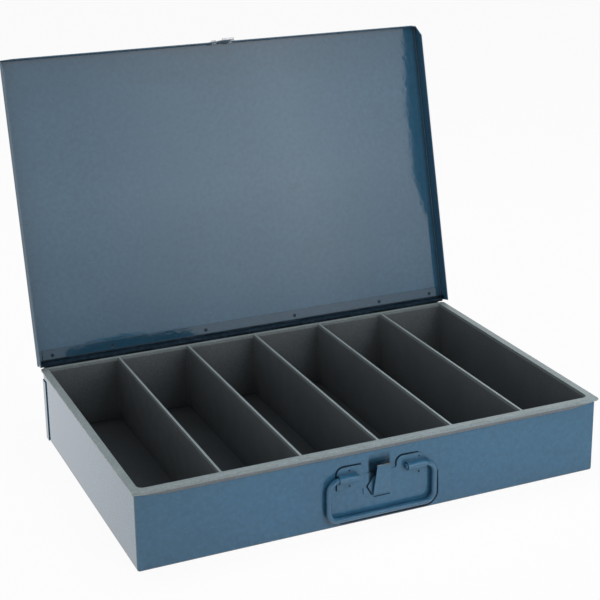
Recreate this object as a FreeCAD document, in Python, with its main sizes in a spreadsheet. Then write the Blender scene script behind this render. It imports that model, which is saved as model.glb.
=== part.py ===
"""Steel compartment storage box with a moulded tray, a hinged lid, a spring catch and a drop handle.

Millimetres. X runs along the hinge, Y from front to back, Z up, with the origin under the middle of
the box. The lid stands open against its stop, and the handle hangs down.
"""
import FreeCAD, Part
import os
import Sketcher
from FreeCAD import Placement, Rotation, Vector

# Driving dimensions, in millimetres, degrees and counts
DIMENSIONS = [
    # Folded steel box
    ("box_width", "455"),
    ("box_depth", "298"),
    ("wall_height", "73.5"),
    ("steel", "0.9"),
    ("bend_radius", "1.5"),
    ("seam_flange", "11"),
    ("seam_trim", "9.5"),
    ("floor_flange", "12"),
    ("floor_flange_inset", "4"),
    # Moulded tray
    ("tray_depth", "67.2"),
    ("tray_wall", "2"),
    ("rim_thickness", "1.5"),
    ("rim_overhang", "2"),
    ("side_margin", "5"),
    ("front_margin", "5"),
    ("rear_margin", "4"),
    ("compartments", "6"),
    ("divider", "2.2"),
    ("front_corner", "6"),
    ("divider_corner", "1.5"),
    ("rim_corner", "3"),
    ("lip_depth", "5.9"),
    ("lip_end_depth", "2.2"),
    ("lip_taper", "30"),
    ("lip_shoulder", "14"),
    ("lip_shoulder_depth", "4.2"),
    ("lip_bend", "1.3"),
    ("fit_gap", "0.3"),
    # Continuous hinge
    ("barrel", "5"),
    ("pin", "2.2"),
    ("pin_gap", "0.2"),
    ("leaf", "0.9"),
    ("leaf_width", "14"),
    ("hinge_length", "450"),
    ("knuckles", "16"),
    ("knuckle_gap", "0.3"),
    ("axis_rise", "2.2"),
    ("weld_pitch", "101.6"),
    ("weld_margin", "10"),
    ("weld_line", "8"),
    ("weld_spot", "3.4"),
    ("weld_dent", "0.3"),
    # Lid
    ("lid_width", "462.5"),
    ("lid_length", "309"),
    ("lid_flange", "15"),
    ("lid_tail", "4"),
    ("lid_side_end", "0.5"),
    ("lid_rear_notch", "6.25"),
    ("lid_corner_cut", "11"),
    ("lid_corner_web", "1.8"),
    ("lid_bend", "0.6"),
    ("open_angle", "103.8"),
    ("stop_gap", "0.3"),
    # Handle plate with its two loops; the ears and their welds are set from the height of the pivot
    ("plate", "1"),
    ("ear_reach", "43"),
    ("ear_top", "9.6"),
    ("ear_base", "13.3"),
    ("ear_round", "6"),
    ("notch_half", "16"),
    ("notch_base", "47.6"),
    ("tab_half", "17"),
    ("tab_base", "26.2"),
    ("plate_round", "2"),
    ("loop_start", "24.7"),
    ("loop_length", "18"),
    ("loop_steel", "1"),
    ("plate_weld_left", "31"),
    ("plate_weld_right", "38.3"),
    ("plate_weld_up", "6"),
    ("plate_weld_down", "9"),
    ("plate_weld_spot", "2"),
    # Drop handle
    ("pivot_height", "48"),
    ("pivot_standoff", "4.2"),
    ("wire", "5"),
    ("wire_gap", "0.3"),
    ("handle_half", "52.5"),
    ("handle_drop", "38.9"),
    ("handle_shoulder", "10"),
    ("handle_corner", "9"),
    ("handle_tuck", "1.5"),
    # Spring catch
    ("spring", "0.8"),
    ("spring_bend", "0.8"),
    ("catch_base", "27.3"),
    ("catch_rise", "30.3"),
    ("catch_lean", "4.2"),
    ("catch_half", "8.4"),
    ("catch_top_half", "6.7"),
    ("nose_reach", "2.1"),
    ("nose_fall", "3"),
    ("nose_corner", "1.7"),
    ("root_height", "16"),
    ("root_waist_rise", "7.5"),
    ("root_waist_half", "13.2"),
    ("root_top_half", "7.5"),
    ("flex_gap", "0.7"),
    # Strike on the lid and its rivets
    ("strike", "0.9"),
    ("strike_base_half", "12.5"),
    ("strike_base_height", "10.5"),
    ("strike_base_inset", "0.5"),
    ("strike_half", "6.5"),
    ("strike_drop", "13.9"),
    ("strike_foot", "2.3"),
    ("strike_bend", "0.6"),
    ("rivet", "3"),
    ("rivet_gap", "0.1"),
    ("rivet_spacing", "18"),
    ("rivet_head", "5"),
    ("rivet_head_height", "1"),
    ("rivet_tail_height", "0.7"),
]

# Places worked out from the driving dimensions, as expressions on the sheet
HALF_WIDTH = "dims.box_width / 2"
FRONT = "-dims.box_depth / 2"
BACK = "dims.box_depth / 2"
OUTER_BEND = "dims.bend_radius + dims.steel"
PAN_BACK = "dims.box_depth / 2 - dims.steel - dims.bend_radius - dims.fit_gap"
RIM_TOP = "dims.wall_height + dims.rim_thickness"
TRAY_FLOOR = f"{RIM_TOP} - dims.tray_depth"
TRAY_SIDE = "dims.box_width / 2 - dims.side_margin"
TRAY_FRONT = "dims.front_margin - dims.box_depth / 2"
TRAY_BACK = "dims.box_depth / 2 - dims.rear_margin"
RIM_SIDE = "dims.box_width / 2 + dims.rim_overhang"
LIP_BACK = f"{FRONT} - dims.fit_gap"
LIP_FRONT = f"{LIP_BACK} - dims.rim_thickness"
COMPARTMENT = f"(2 * ({TRAY_SIDE}) - (dims.compartments - 1) * dims.divider) / dims.compartments"
BARREL_RADIUS = "dims.barrel / 2"
BORE_RADIUS = "dims.pin / 2 + dims.pin_gap"
LEAF_FACE = f"{BARREL_RADIUS} + dims.knuckle_gap"
AXIS_Y = f"{BACK} + {LEAF_FACE}"
AXIS_Z = f"{RIM_TOP} + dims.axis_rise"
KNUCKLE_PITCH = "dims.hinge_length / dims.knuckles"
LID_INSIDE = LEAF_FACE
LID_TOP = f"{LID_INSIDE} + dims.steel"
LID_FRONT = "dims.lid_tail - dims.lid_length"
LID_HALF = "dims.lid_width / 2"
FLANGE_EDGE = f"{LID_TOP} - dims.lid_flange"
STRIKE_BACK = LID_FRONT
STRIKE_FRONT = f"{LID_FRONT} - dims.strike"
RIVET_HEIGHT = f"{FLANGE_EDGE} + dims.strike_base_inset + dims.strike_base_height / 2"
RIVET_PLACES = ["-dims.rivet_spacing / 2", "dims.rivet_spacing / 2"]
LEAN = "(dims.open_angle - 90)"
STOP_EDGE = f"(sin({LEAN}) * dims.lid_tail - ({LEAF_FACE}) + dims.leaf + dims.stop_gap) / cos({LEAN})"
LOOP_HALF = "dims.wire / 2 + dims.wire_gap"
LOOP_TOP = f"{LOOP_HALF} + dims.loop_steel"
PIVOT_Y = f"{FRONT} - dims.pivot_standoff"
EAR_TOP = "dims.pivot_height + dims.ear_top"
EAR_BASE = "dims.pivot_height - dims.ear_base"
CATCH_Y = f"{FRONT} - dims.plate - dims.spring - dims.spring_bend"
BEND_OUTSIDE = "dims.spring_bend + dims.spring"

doc = FreeCAD.newDocument("compartment_box")
dims = doc.addObject("Spreadsheet::Sheet", "dims")
for row, (alias, value) in enumerate(DIMENSIONS, start=1):
    dims.set(f"A{row}", alias)
    dims.set(f"B{row}", value)
    dims.setAlias(f"B{row}", alias)
doc.recompute()

NEAR = 0.001
BEND_STEPS = 3


def size(expression):
    """The present value of an expression on the sheet."""
    return float(dims.evalExpression(expression))


def minus(expression):
    """The same distance on the other side of the middle."""
    return f"-({expression})"


def new_body(label):
    body = doc.addObject("PartDesign::Body", label)
    body.Label = label
    return body


def rectangle(left, right, low, high):
    return [(left, low), (right, low), (right, high), (left, high)]


def hold_point(sketch, edge, end, across, up):
    """Hold one end of a sketch edge at a place given by two expressions."""
    for kind, expression in (("DistanceX", across), ("DistanceY", up)):
        index = sketch.addConstraint(Sketcher.Constraint(kind, -1, 1, edge, end, size(expression)))
        sketch.setExpression(f"Constraints[{index}]", expression)


def new_sketch(body, name, plane, lift):
    """A sketch on one of the body's origin planes, lifted along that plane's normal."""
    sketch = body.newObject("Sketcher::SketchObject", name)
    support = next(item for item in body.Origin.OriginFeatures if item.Role == plane)
    sketch.AttachmentSupport = [(support, "")]
    sketch.MapMode = "FlatFace"
    sketch.setExpression("AttachmentOffset.Base.z", lift)
    return sketch


def outline(body, name, plane, points, lift="0"):
    """A closed sketch of straight edges whose corners are pairs of expressions."""
    sketch = new_sketch(body, name, plane, lift)
    corners = [Vector(size(across), size(up), 0) for across, up in points]
    for start, end in zip(corners, corners[1:] + corners[:1]):
        sketch.addGeometry(Part.LineSegment(start, end))
    for edge, (across, up) in enumerate(points):
        following = (edge + 1) % len(points)
        sketch.addConstraint(Sketcher.Constraint("Coincident", edge, 2, following, 1))
        hold_point(sketch, edge, 1, across, up)
    return sketch


def circle(body, name, plane, across, up, radius, lift="0"):
    """A sketch of one circle, its centre and radius given by expressions."""
    sketch = new_sketch(body, name, plane, lift)
    centre = Vector(size(across), size(up), 0)
    sketch.addGeometry(Part.Circle(centre, Vector(0, 0, 1), size(radius)))
    hold_point(sketch, 0, 3, across, up)
    index = sketch.addConstraint(Sketcher.Constraint("Radius", 0, size(radius)))
    sketch.setExpression(f"Constraints[{index}]", radius)
    return sketch


def pad(body, name, sketch, length, backwards=False):
    feature = body.newObject("PartDesign::Pad", name)
    feature.Profile = sketch
    feature.setExpression("Length", length)
    feature.Reversed = backwards
    doc.recompute()
    return feature


def pocket(body, name, sketch, length, backwards=False):
    before = body.Shape.Volume
    feature = body.newObject("PartDesign::Pocket", name)
    feature.Profile = sketch
    feature.setExpression("Length", length)
    feature.Reversed = backwards
    doc.recompute()
    if body.Shape.Volume > before - NEAR:
        raise RuntimeError(f"{name} cuts nothing")
    return feature


def pattern(body, name, feature, step, copies):
    """Copies of a feature along X, a fixed step apart."""
    before = body.Shape.Volume
    row = body.newObject("PartDesign::LinearPattern", name)
    row.Originals = [feature]
    axis = next(item for item in body.Origin.OriginFeatures if item.Role == "X_Axis")
    row.Direction = (axis, [""])
    row.setExpression("Length", f"({step}) * ({copies} - 1)")
    row.setExpression("Occurrences", copies)
    body.Tip = row
    doc.recompute()
    if abs(body.Shape.Volume - before) < NEAR:
        raise RuntimeError(f"{name} repeats nothing")
    return row


def mirrored(body, name, features):
    """Copies of features on the other side of the middle plane across X."""
    twin = body.newObject("PartDesign::Mirrored", name)
    twin.Originals = features
    plane = next(item for item in body.Origin.OriginFeatures if item.Role == "YZ_Plane")
    twin.MirrorPlane = (plane, [""])
    body.Tip = twin
    doc.recompute()
    return twin


def round_edges(body, name, radius, chosen):
    """Round the edges of the body's last feature whose middle point the test chooses."""
    base = body.Tip
    names = []
    for number, edge in enumerate(base.Shape.Edges, start=1):
        first, last = edge.ParameterRange
        if chosen(edge.valueAt((first + last) / 2), edge):
            names.append(f"Edge{number}")
    if not names:
        raise RuntimeError(f"{name} finds no edge")
    feature = body.newObject("PartDesign::Fillet", name)
    feature.Base = (base, names)
    feature.setExpression("Radius", radius)
    doc.recompute()
    return feature


def near(value, expression):
    return abs(value - size(expression)) < NEAR


def along_x(edge):
    return edge.BoundBox.XLength > edge.Length - NEAR


def along_y(edge):
    return edge.BoundBox.YLength > edge.Length - NEAR


def along_z(edge):
    return edge.BoundBox.ZLength > edge.Length - NEAR


def place(body, across, up, angle="0"):
    """Stand a body on an axis along X, turned about it."""
    body.Placement = Placement(Vector(), Rotation(Vector(1, 0, 0), 1))
    body.setExpression("Placement.Base.y", across)
    body.setExpression("Placement.Base.z", up)
    body.setExpression("Placement.Rotation.Angle", angle)


def stand_open(body):
    """Carry a lid piece, drawn closed about the hinge axis, to its open stop."""
    place(body, AXIS_Y, AXIS_Z, "-dims.open_angle")


def dent_spots(body, name, plane, places, across_spot, lift, backwards=False):
    """Shallow round dents left by spot welding."""
    for number, (across, up) in enumerate(places, start=1):
        spot = circle(body, f"{name}_spot_{number}", plane, across, up, f"{across_spot} / 2", lift)
        pocket(body, f"{name}_dent_{number}", spot, "dims.weld_dent", backwards)


def base_pan():
    """Floor, front wall and side walls folded from one sheet."""
    body = new_body("base_pan")
    outside = outline(
        body, "pan_outside", "XY_Plane", rectangle(minus(HALF_WIDTH), HALF_WIDTH, FRONT, PAN_BACK))
    pad(body, "pan_block", outside, "dims.wall_height")
    side = f"{HALF_WIDTH} - dims.steel"
    inside = outline(
        body, "pan_inside", "XY_Plane",
        rectangle(minus(side), side, f"{FRONT} + dims.steel", BACK), "dims.wall_height")
    pocket(body, "pan_hollow", inside, "dims.wall_height - dims.steel")
    round_edges(body, "pan_inner_bends", "dims.bend_radius", lambda middle, edge: (
        (near(middle.z, "dims.steel") and not near(middle.y, PAN_BACK))
        or (along_z(edge) and near(middle.y, f"{FRONT} + dims.steel"))))
    round_edges(body, "pan_outer_bends", OUTER_BEND, lambda middle, edge: (
        (near(middle.z, "0") and not near(middle.y, PAN_BACK))
        or (along_z(edge) and near(middle.y, FRONT))))
    return body


def rear_panel():
    """Back wall with flanges lapped round the side walls and one laid on the floor."""
    body = new_body("rear_panel")
    wide = f"{HALF_WIDTH} + dims.steel"
    lap = f"{BACK} - dims.seam_flange"
    inner = f"{BACK} - dims.steel"
    plan = [
        (minus(wide), lap), (minus(wide), BACK), (wide, BACK), (wide, lap),
        (HALF_WIDTH, lap), (HALF_WIDTH, inner), (minus(HALF_WIDTH), inner), (minus(HALF_WIDTH), lap)]
    lower = outline(body, "panel_plan", "XY_Plane", plan, "dims.steel")
    pad(body, "panel_wrap", lower, "dims.wall_height - dims.seam_trim - dims.steel")
    round_edges(body, "panel_outer_bends", OUTER_BEND, lambda middle, edge: (
        along_z(edge) and near(middle.y, BACK)))
    round_edges(body, "panel_inner_bends", "dims.bend_radius", lambda middle, edge: (
        along_z(edge) and near(middle.y, inner)))
    straight = f"{wide} - ({OUTER_BEND})"
    upper = outline(
        body, "panel_top", "XY_Plane", rectangle(minus(straight), straight, inner, BACK),
        "dims.wall_height - dims.seam_trim")
    pad(body, "panel_upper", upper, "dims.seam_trim")
    foot_half = f"{HALF_WIDTH} - dims.floor_flange_inset"
    foot = outline(
        body, "panel_foot", "XY_Plane",
        rectangle(minus(foot_half), foot_half, f"{BACK} - dims.floor_flange", inner), "dims.steel")
    pad(body, "panel_floor_flange", foot, "dims.steel")
    return body


def tray_insert():
    """One moulded tray: compartments in a row, a flat rim, and a lip turned down over the front wall."""
    body = new_body("tray_insert")
    rim = outline(
        body, "tray_rim", "XY_Plane",
        rectangle(minus(RIM_SIDE), RIM_SIDE, LIP_FRONT, BACK), "dims.wall_height")
    pad(body, "rim_plate", rim, "dims.rim_thickness")
    lip_end = f"{RIM_TOP} - dims.lip_end_depth"
    lip_shoulder = f"{RIM_TOP} - dims.lip_shoulder_depth"
    lip_low = f"{RIM_TOP} - dims.lip_depth"
    half_lip = [
        (f"{RIM_SIDE} - dims.lip_taper", lip_low), (f"{RIM_SIDE} - dims.lip_shoulder", lip_shoulder),
        (RIM_SIDE, lip_end), (RIM_SIDE, "dims.wall_height")]
    other_half = [(minus(across), up) for across, up in reversed(half_lip)]
    lip = outline(body, "tray_lip", "XZ_Plane", half_lip + other_half, minus(LIP_BACK))
    pad(body, "front_lip", lip, "dims.rim_thickness")
    round_edges(body, "rim_corners", "dims.rim_corner", lambda middle, edge: (
        along_z(edge) and near(middle.y, BACK)))
    round_edges(body, "lip_bend", "dims.lip_bend", lambda middle, edge: (
        along_x(edge) and near(middle.y, LIP_FRONT) and near(middle.z, RIM_TOP)))
    wall_side = f"{TRAY_SIDE} + dims.tray_wall"
    wall_front = f"{TRAY_FRONT} - dims.tray_wall"
    wall_back = f"{TRAY_BACK} + dims.tray_wall"
    block = outline(
        body, "tray_walls", "XY_Plane",
        rectangle(minus(wall_side), wall_side, wall_front, wall_back), "dims.wall_height")
    pad(body, "tray_block", block, "dims.tray_depth - dims.rim_thickness + dims.tray_wall", backwards=True)
    first = minus(TRAY_SIDE)
    cell = outline(
        body, "first_cell", "XY_Plane",
        rectangle(first, f"{first} + {COMPARTMENT}", TRAY_FRONT, TRAY_BACK), RIM_TOP)
    cavity = pocket(body, "first_compartment", cell, "dims.tray_depth")
    pattern(body, "compartment_row", cavity, f"{COMPARTMENT} + dims.divider", "dims.compartments")
    round_edges(body, "front_corners", "dims.front_corner", lambda middle, edge: (
        along_z(edge) and near(middle.y, TRAY_FRONT) and near(abs(middle.x), TRAY_SIDE)))
    inner_end = size(f"{TRAY_SIDE} - dims.front_corner")
    round_edges(body, "divider_corners", "dims.divider_corner", lambda middle, edge: (
        along_z(edge) and (
            near(middle.y, TRAY_BACK) or (near(middle.y, TRAY_FRONT) and abs(middle.x) < inner_end))))
    return body


def hinge_leaf(label, first_knuckle):
    """A leaf drawn flat under the lid, rolled round the hinge axis, with gaps for its partner's knuckles."""
    body = new_body(label)
    half = "dims.hinge_length / 2"
    strip = outline(
        body, f"{label}_strip", "YZ_Plane",
        rectangle("-dims.leaf_width", "0", f"{LEAF_FACE} - dims.leaf", LEAF_FACE), minus(half))
    pad(body, f"{label}_plate", strip, "dims.hinge_length")
    roll = circle(body, f"{label}_roll", "YZ_Plane", "0", "0", BARREL_RADIUS, minus(half))
    pad(body, f"{label}_barrel", roll, "dims.hinge_length")
    hole = circle(body, f"{label}_hole", "YZ_Plane", "0", "0", BORE_RADIUS, minus(half))
    pocket(body, f"{label}_bore", hole, "dims.hinge_length", backwards=True)
    start = f"{minus(half)} + {KNUCKLE_PITCH} * {first_knuckle} - dims.knuckle_gap / 2"
    clear = minus(LEAF_FACE)
    gap = outline(body, f"{label}_gap", "YZ_Plane", rectangle(clear, LEAF_FACE, clear, LEAF_FACE), start)
    cut = pocket(body, f"{label}_cut", gap, f"{KNUCKLE_PITCH} + dims.knuckle_gap", backwards=True)
    pattern(body, f"{label}_cuts", cut, f"2 * {KNUCKLE_PITCH}", "dims.knuckles / 2")
    return body


def hinge_leaf_lid():
    """The lid's leaf, spot-welded to the inside of the lid."""
    body = hinge_leaf("hinge_leaf_lid", 0)
    weld_places = []
    last_weld = "dims.hinge_length / 2 - dims.weld_margin"
    for distance in ("dims.weld_pitch / 2", "dims.weld_pitch * 3 / 2", last_weld):
        weld_places += [(distance, "-dims.weld_line"), (minus(distance), "-dims.weld_line")]
    dent_spots(
        body, "leaf", "XY_Plane", weld_places, "dims.weld_spot", f"{LEAF_FACE} - dims.leaf", backwards=True)
    stand_open(body)
    return body


def hinge_leaf_box():
    """The box's leaf, welded to the outside of the back wall."""
    body = hinge_leaf("hinge_leaf_box", 1)
    place(body, AXIS_Y, AXIS_Z, "90")
    return body


def hinge_pin():
    """The wire that runs through every knuckle."""
    body = new_body("hinge_pin")
    half = "dims.hinge_length / 2"
    end = circle(body, "pin_end", "YZ_Plane", "0", "0", "dims.pin / 2", minus(half))
    pad(body, "pin_wire", end, "dims.hinge_length")
    place(body, AXIS_Y, AXIS_Z)
    return body


def lid_panel():
    """Lid sheet with open-cornered flanges at the front and sides and a short stop lip at the back."""
    body = new_body("lid_panel")
    tail_half, side_end = f"{LID_HALF} - dims.lid_rear_notch", "dims.lid_side_end"
    half_sheet = [
        (LID_HALF, LID_FRONT), (LID_HALF, side_end), (tail_half, side_end), (tail_half, "dims.lid_tail")]
    other_half = [(minus(across), up) for across, up in reversed(half_sheet)]
    sheet = outline(body, "lid_sheet", "XY_Plane", half_sheet + other_half, LID_INSIDE)
    pad(body, "lid_top", sheet, "dims.steel")
    edge_half = f"{LID_HALF} - dims.lid_corner_cut"
    corner = f"{LID_INSIDE} - dims.lid_corner_web"
    front = outline(body, "front_flange_face", "XZ_Plane", [
        (minus(LID_HALF), LID_INSIDE), (minus(LID_HALF), corner), (minus(edge_half), FLANGE_EDGE),
        (edge_half, FLANGE_EDGE), (LID_HALF, corner), (LID_HALF, LID_INSIDE)], minus(LID_FRONT))
    pad(body, "front_flange", front, "dims.steel", backwards=True)
    side = outline(body, "side_flange_face", "YZ_Plane", [
        (LID_FRONT, LID_INSIDE), (LID_FRONT, corner), (f"{LID_FRONT} + dims.lid_corner_cut", FLANGE_EDGE),
        (side_end, FLANGE_EDGE), (side_end, LID_INSIDE)], f"{LID_HALF} - dims.steel")
    right = pad(body, "side_flange", side, "dims.steel")
    mirrored(body, "side_flanges", [right])
    stop = outline(
        body, "stop_lip_face", "XZ_Plane",
        rectangle(minus(tail_half), tail_half, STOP_EDGE, LID_INSIDE), "-dims.lid_tail")
    pad(body, "stop_lip", stop, "dims.steel")
    round_edges(body, "lid_inner_bends", "dims.lid_bend", lambda middle, edge: (
        near(middle.z, LID_INSIDE) and (
            near(abs(middle.x), f"{LID_HALF} - dims.steel") or near(middle.y, f"{LID_FRONT} + dims.steel")
            or near(middle.y, "dims.lid_tail - dims.steel"))))
    round_edges(body, "lid_outer_bends", "dims.lid_bend + dims.steel", lambda middle, edge: (
        near(middle.z, LID_TOP) and (
            near(abs(middle.x), LID_HALF) or near(middle.y, LID_FRONT) or near(middle.y, "dims.lid_tail"))))
    for number, across in enumerate(RIVET_PLACES, start=1):
        hole = circle(
            body, f"flange_hole_{number}", "XZ_Plane", across, RIVET_HEIGHT,
            "dims.rivet / 2 + dims.rivet_gap", minus(f"{LID_FRONT} + dims.steel"))
        pocket(body, f"flange_rivet_hole_{number}", hole, "dims.steel", backwards=True)
    stand_open(body)
    return body


def lid_strike():
    """Bent steel tongue on the lid's front flange, with a foot that goes under the catch."""
    body = new_body("lid_strike")
    base_low = f"{FLANGE_EDGE} + dims.strike_base_inset"
    foot_low = f"{FLANGE_EDGE} - dims.strike_drop"
    base_top = f"{base_low} + dims.strike_base_height"
    face = outline(body, "strike_face", "XZ_Plane", [
        ("-dims.strike_half", foot_low), ("dims.strike_half", foot_low), ("dims.strike_half", base_low),
        ("dims.strike_base_half", base_low), ("dims.strike_base_half", base_top),
        ("-dims.strike_base_half", base_top), ("-dims.strike_base_half", base_low),
        ("-dims.strike_half", base_low)], minus(STRIKE_BACK))
    pad(body, "strike_plate", face, "dims.strike")
    foot = outline(
        body, "strike_foot_face", "XZ_Plane",
        rectangle("-dims.strike_half", "dims.strike_half", foot_low, f"{foot_low} + dims.strike"),
        minus(STRIKE_FRONT))
    pad(body, "strike_toe", foot, "dims.strike_foot - dims.strike")
    round_edges(body, "strike_outer_bend", "dims.strike_bend + dims.strike / 2", lambda middle, edge: (
        along_x(edge) and near(middle.y, STRIKE_BACK) and near(middle.z, foot_low)))
    round_edges(body, "strike_inner_bend", "dims.strike_bend", lambda middle, edge: (
        along_x(edge) and near(middle.y, STRIKE_FRONT) and near(middle.z, f"{foot_low} + dims.strike")))
    for number, across in enumerate(RIVET_PLACES, start=1):
        hole = circle(
            body, f"strike_hole_{number}", "XZ_Plane", across, RIVET_HEIGHT,
            "dims.rivet / 2 + dims.rivet_gap", minus(STRIKE_BACK))
        pocket(body, f"strike_rivet_hole_{number}", hole, "dims.strike", backwards=True)
    stand_open(body)
    return body


def rivet_piece(name, radius, length, across, along):
    """A cylinder of one rivet, drawn along Y in the closed lid's frame."""
    piece = doc.addObject("Part::Cylinder", name)
    piece.setExpression("Radius", radius)
    piece.setExpression("Height", length)
    piece.Placement = Placement(Vector(), Rotation(Vector(1, 0, 0), -90))
    piece.setExpression("Placement.Base.x", across)
    piece.setExpression("Placement.Base.y", along)
    piece.setExpression("Placement.Base.z", RIVET_HEIGHT)
    return piece


def strike_rivets():
    """Two rivets through the strike and the flange, headed on both sides."""
    pieces = []
    tail = f"{LID_FRONT} + dims.steel"
    for number, across in enumerate(RIVET_PLACES, start=1):
        grip = "dims.strike + dims.steel + dims.rivet_tail_height + dims.rivet_head_height"
        head_start = f"{STRIKE_FRONT} - dims.rivet_head_height"
        pieces.append(rivet_piece(f"rivet_shank_{number}", "dims.rivet / 2", grip, across, head_start))
        head = rivet_piece(
            f"rivet_head_{number}", "dims.rivet_head / 2", "dims.rivet_head_height", across, head_start)
        pieces.append(head)
        pieces.append(rivet_piece(
            f"rivet_tail_{number}", "dims.rivet_head / 2", "dims.rivet_tail_height", across, tail))
    group = doc.addObject("Part::MultiFuse", "strike_rivets")
    group.Shapes = pieces
    group.Label = "strike_rivets"
    stand_open(group)
    return group


def arch(body, name, radius):
    """A sketch of a handle loop's end view: two straight legs off the wall and a round crown."""
    sketch = new_sketch(body, name, "YZ_Plane", "dims.loop_start")
    middle, high = "dims.pivot_height", f"dims.pivot_height + {radius}"
    reach = size(radius)
    centre = Vector(size(PIVOT_Y), size(middle), 0)
    rise = Vector(0, reach, 0)
    foot = Vector(size(FRONT), size(middle), 0)
    wall = sketch.addGeometry(Part.LineSegment(foot - rise, foot + rise))
    upper_leg = sketch.addGeometry(Part.LineSegment(foot + rise, centre + rise))
    crown = sketch.addGeometry(Part.Arc(centre + rise, centre - Vector(reach, 0, 0), centre - rise))
    lower_leg = sketch.addGeometry(Part.LineSegment(centre - rise, foot - rise))
    sketch.addConstraint(Sketcher.Constraint("Vertical", wall))
    sketch.addConstraint(Sketcher.Constraint("Horizontal", upper_leg))
    sketch.addConstraint(Sketcher.Constraint("Horizontal", lower_leg))
    sketch.addConstraint(Sketcher.Constraint("Coincident", wall, 2, upper_leg, 1))
    sketch.addConstraint(Sketcher.Constraint("Coincident", lower_leg, 2, wall, 1))
    sketch.addConstraint(Sketcher.Constraint("Tangent", upper_leg, 2, crown, 1))
    sketch.addConstraint(Sketcher.Constraint("Tangent", crown, 2, lower_leg, 1))
    hold_point(sketch, wall, 2, FRONT, high)
    hold_point(sketch, crown, 3, PIVOT_Y, middle)
    return sketch


def handle_plate():
    """Stamped plate with two ears, a notch for the strike and two raised loops for the handle's ends."""
    body = new_body("handle_plate")
    ear, notch, tab = "dims.ear_reach", "dims.notch_half", "dims.tab_half"
    half = [
        (tab, "dims.tab_base"), (tab, EAR_BASE), (ear, EAR_BASE), (ear, EAR_TOP), (notch, EAR_TOP),
        (notch, "dims.notch_base")]
    other = [(minus(across), up) for across, up in reversed(half)]
    face = outline(body, "plate_face", "XZ_Plane", half + other, minus(FRONT))
    pad(body, "plate_sheet", face, "dims.plate")
    round_edges(body, "ear_corners", "dims.ear_round", lambda middle, edge: (
        along_y(edge) and near(middle.z, EAR_TOP)))
    round_edges(body, "plate_corners", "dims.plate_round", lambda middle, edge: (
        along_y(edge) and not near(middle.z, EAR_TOP)))
    loop = pad(body, "loop_arch", arch(body, "loop_outside", LOOP_TOP), "dims.loop_length")
    mirrored(body, "loop_arches", [loop])
    inside = arch(body, "loop_inside", LOOP_HALF)
    tunnel = pocket(body, "loop_tunnel", inside, "dims.loop_length", backwards=True)
    mirrored(body, "loop_tunnels", [tunnel])
    weld_places = []
    for across in ("dims.plate_weld_right", minus("dims.plate_weld_left")):
        weld_places.append((across, "dims.pivot_height + dims.plate_weld_up"))
        weld_places.append((across, "dims.pivot_height - dims.plate_weld_down"))
    dent_spots(
        body, "plate", "XZ_Plane", weld_places, "dims.plate_weld_spot", minus(f"{FRONT} - dims.plate"))
    return body


def bend_points(centre_x, centre_z, radius, first_angle):
    """Points of a quarter bend in even steps, as pairs of expressions."""
    points = []
    for step in range(BEND_STEPS + 1):
        angle = first_angle + 90 * step / BEND_STEPS
        points.append((f"{centre_x} + {radius} * cos({angle})", f"{centre_z} + {radius} * sin({angle})"))
    return points


def open_path(body, name, plane, points):
    """An open sketch of straight runs between points held by expressions."""
    sketch = new_sketch(body, name, plane, "0")
    places = [Vector(size(across), size(up), 0) for across, up in points]
    for run, (begin, finish) in enumerate(zip(places, places[1:])):
        sketch.addGeometry(Part.LineSegment(begin, finish))
        hold_point(sketch, run, 1, *points[run])
        if run:
            sketch.addConstraint(Sketcher.Constraint("Coincident", run - 1, 2, run, 1))
    hold_point(sketch, len(points) - 2, 2, *points[-1])
    return sketch


def bail_handle():
    """Bent wire whose ends turn in the loops, drawn about its pivot."""
    body = new_body("bail_handle")
    end = "dims.loop_start - dims.handle_tuck"
    arm, corner, shoulder = "dims.handle_half", "dims.handle_corner", "dims.handle_shoulder"
    right_side = bend_points(f"{arm} - {corner}", f"{corner} - dims.handle_drop", corner, -90)
    right_side += bend_points(f"{arm} - {shoulder}", minus(shoulder), shoulder, 0)
    right_side.append((end, "0"))
    left_side = [(minus(across), up) for across, up in reversed(right_side)]
    path = open_path(body, "handle_path", "XZ_Plane", left_side + right_side)
    section = circle(body, "handle_section", "YZ_Plane", "0", "0", "dims.wire / 2", minus(end))
    pipe = body.newObject("PartDesign::AdditivePipe", "handle_wire")
    pipe.Profile = section
    pipe.Spine = (path, [])
    pipe.Transition = "Right corner"
    doc.recompute()
    place(body, PIVOT_Y, "dims.pivot_height")
    return body


def quarter_bend(body, name, side):
    """A quarter of the strip's lower bend, short of its lowest line by half the flexing gap."""
    start, width = "-dims.catch_half", "2 * dims.catch_half"
    ring = circle(body, f"{name}_bend_outside", "YZ_Plane", "0", "0", BEND_OUTSIDE, start)
    pad(body, f"{name}_bend", ring, width)
    bore = circle(body, f"{name}_bend_inside", "YZ_Plane", "0", "0", "dims.spring_bend", start)
    pocket(body, f"{name}_bend_bore", bore, width, backwards=True)
    reach = f"{side} * ({BEND_OUTSIDE} + dims.flex_gap)"
    up = f"{BEND_OUTSIDE} + dims.flex_gap"
    gap = f"{side} * dims.flex_gap / 2"
    other_quarters = outline(body, f"{name}_bend_rest", "YZ_Plane", [
        (minus(reach), minus(up)), (gap, minus(up)), (gap, "0"), (reach, "0"), (reach, up),
        (minus(reach), up)], start)
    pocket(body, f"{name}_bend_cut", other_quarters, width, backwards=True)


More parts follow.
